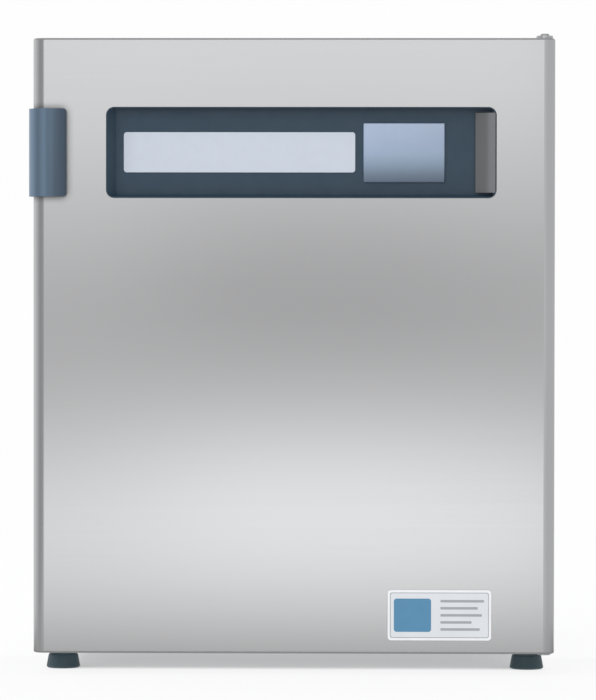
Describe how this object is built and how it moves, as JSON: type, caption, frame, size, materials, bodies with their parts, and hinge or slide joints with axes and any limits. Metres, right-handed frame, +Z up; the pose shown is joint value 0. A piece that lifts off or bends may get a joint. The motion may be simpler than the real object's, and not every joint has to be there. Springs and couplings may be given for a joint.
{
  "type": "laboratory incubator",
  "caption": "Free-standing laboratory incubator with a stainless outer door, inner glass door, sliding perforated shelves, touch display and levelling feet.",
  "frame": {"origin": "on the floor, under the middle of the whole box", "axes": "+X to the right as seen from the front, where the door hinges are; +Y to the back; +Z up"},
  "size_m": [0.786, 0.8346, 0.9586],
  "materials": {
    "brushed_stainless": "brushed across the width",
    "chamber_stainless": "satin",
    "coated_steel": "fine texture",
    "zinc_steel": "zinc plated",
    "pin_steel": "satin",
    "nickel_brass": "nickel plated",
    "frame_moulding": "satin",
    "insulation_foam": "matt",
    "filter_paper": "pleated",
    "motor_housing": "cast",
    "white_plastic": "satin",
    "silicone_rubber": "matt, translucent",
    "black_rubber": "matt",
    "gasket_rubber": "matt",
    "circuit_board": "satin",
    "black_plastic": "fine texture",
    "switch_plastic": "gloss",
    "bush_plastic": "smooth",
    "clear_glass": "polished",
    "latch_plastic": "satin",
    "liner_plastic": "satin",
    "bezel_plastic": "fine texture",
    "plate_plastic": "satin",
    "screen_glass": "gloss",
    "cover_satin": "satin",
    "handle_plastic": "satin",
    "label_film": "satin film",
    "foot_plastic": "matt"
  },
  "bodies": {
    "cabinet": {"access_port_tube": "white_plastic", "air_duct": "chamber_stainless", "base_pan": "coated_steel", "cabinet_insulation": "insulation_foam", "chamber_liner": "chamber_stainless", "co2_inlet": "nickel_brass", "control_board": "circuit_board", "fan_motor": "motor_housing", "fan_shroud": "chamber_stainless", "foot_bushes": "zinc_steel", "front_frame": "frame_moulding", "glass_hinge_brackets": "pin_steel", "hepa_filter": "filter_paper", "hinge_bracket_bottom": "zinc_steel", "hinge_bracket_top": "zinc_steel", "hinge_pins": "pin_steel", "latch_keeper": "pin_steel", "left_side_panel": "coated_steel", "power_inlet": "black_plastic", "rear_panel": "zinc_steel", "rear_screws": "pin_steel", "rear_spacers": "black_rubber", "reservoir_cover": "chamber_stainless", "right_side_panel": "coated_steel", "sensor_module": "white_plastic", "shelf_rails_1": "chamber_stainless", "shelf_rails_2": "chamber_stainless", "shelf_rails_3": "chamber_stainless", "shelf_uprights_left": "chamber_stainless", "shelf_uprights_right": "chamber_stainless", "signal_sockets": "black_plastic", "top_panel": "coated_steel", "vent_filter": "white_plastic"},
    "outer_door": {"door_skin": "brushed_stainless", "door_liner": "liner_plastic", "door_insulation": "insulation_foam", "door_gasket": "gasket_rubber", "panel_bezel": "bezel_plastic", "name_plate": "plate_plastic", "touch_screen": "screen_glass", "display_module": "black_plastic", "usb_socket": "pin_steel", "door_handle": "handle_plastic", "spec_label": "label_film", "hinge_bushes": "bush_plastic"},
    "glass_door": {"glass_pane": "clear_glass", "glass_door_seal": "silicone_rubber", "glass_hinge_clamps": "pin_steel"},
    "usb_cover": {"usb_cover": "cover_satin"},
    "latch_lever": {"latch_lever": "latch_plastic"},
    "fan_wheel": {"fan_wheel": "white_plastic"},
    "port_stopper": {"port_stopper": "silicone_rubber"},
    "power_switch": {"power_switch": "switch_plastic"},
    "shelf_1": {"shelf_1": "chamber_stainless"},
    "shelf_2": {"shelf_2": "chamber_stainless"},
    "shelf_3": {"shelf_3": "chamber_stainless"},
    "foot_front_left": {"foot_front_left": "foot_plastic"},
    "foot_front_right": {"foot_front_right": "foot_plastic"},
    "foot_rear_left": {"foot_rear_left": "foot_plastic"},
    "foot_rear_right": {"foot_rear_right": "foot_plastic"}
  },
  "joints": [
    {"name": "outer_door_swing", "type": "hinge", "parent": "cabinet", "child": "outer_door", "pos_m": [0.378, -0.371, 0.4915], "axis": [0, 0, 1], "range_deg": [0, 120]},
    {"name": "glass_door_swing", "type": "hinge", "parent": "cabinet", "child": "glass_door", "pos_m": [0.325, -0.343, 0.472], "axis": [0, 0, 1], "range_deg": [0, 96]},
    {"name": "usb_cover_flap", "type": "hinge", "parent": "outer_door", "child": "usb_cover", "pos_m": [0.3024, -0.3984, 0.7803], "axis": [0, 0, 1], "range_deg": [0, 110]},
    {"name": "latch_turn", "type": "hinge", "parent": "glass_door", "child": "latch_lever", "pos_m": [-0.285, -0.347, 0.472], "axis": [0, 1, 0], "range_deg": [0, 90]},
    {"name": "fan_spin", "type": "hinge", "parent": "cabinet", "child": "fan_wheel", "pos_m": [0.003, 0.1592, 0.78], "axis": [0, 0, 1], "continuous": true},
    {"name": "port_stopper_pull", "type": "slide", "parent": "cabinet", "child": "port_stopper", "axis": [0, 1, 0], "range_m": [0, 0.08]},
    {"name": "power_switch_rock", "type": "hinge", "parent": "cabinet", "child": "power_switch", "pos_m": [-0.252, 0.395, 0.169], "axis": [1, 0, 0], "range_deg": [0, 18]},
    {"name": "shelf_1_slide", "type": "slide", "parent": "cabinet", "child": "shelf_1", "axis": [0, -1, 0], "range_m": [0, 0.158]},
    {"name": "shelf_2_slide", "type": "slide", "parent": "cabinet", "child": "shelf_2", "axis": [0, -1, 0], "range_m": [0, 0.158]},
    {"name": "shelf_3_slide", "type": "slide", "parent": "cabinet", "child": "shelf_3", "axis": [0, -1, 0], "range_m": [0, 0.158]},
    {"name": "front_left_foot_level", "type": "slide", "parent": "cabinet", "child": "foot_front_left", "axis": [0, 0, 1], "range_m": [-0.012, 0]},
    {"name": "front_right_foot_level", "type": "slide", "parent": "cabinet", "child": "foot_front_right", "axis": [0, 0, 1], "range_m": [-0.012, 0]},
    {"name": "rear_left_foot_level", "type": "slide", "parent": "cabinet", "child": "foot_rear_left", "axis": [0, 0, 1], "range_m": [-0.012, 0]},
    {"name": "rear_right_foot_level", "type": "slide", "parent": "cabinet", "child": "foot_rear_right", "axis": [0, 0, 1], "range_m": [-0.012, 0]}
  ],
  "couplings": [
    {"joint": "glass_door_swing", "follows": "outer_door_swing", "ratio": 0.8},
    {"joint": "shelf_1_slide", "follows": "outer_door_swing", "m_per_rad": 0.075},
    {"joint": "shelf_2_slide", "follows": "outer_door_swing", "m_per_rad": 0.075},
    {"joint": "shelf_3_slide", "follows": "outer_door_swing", "m_per_rad": 0.075}
  ]
}
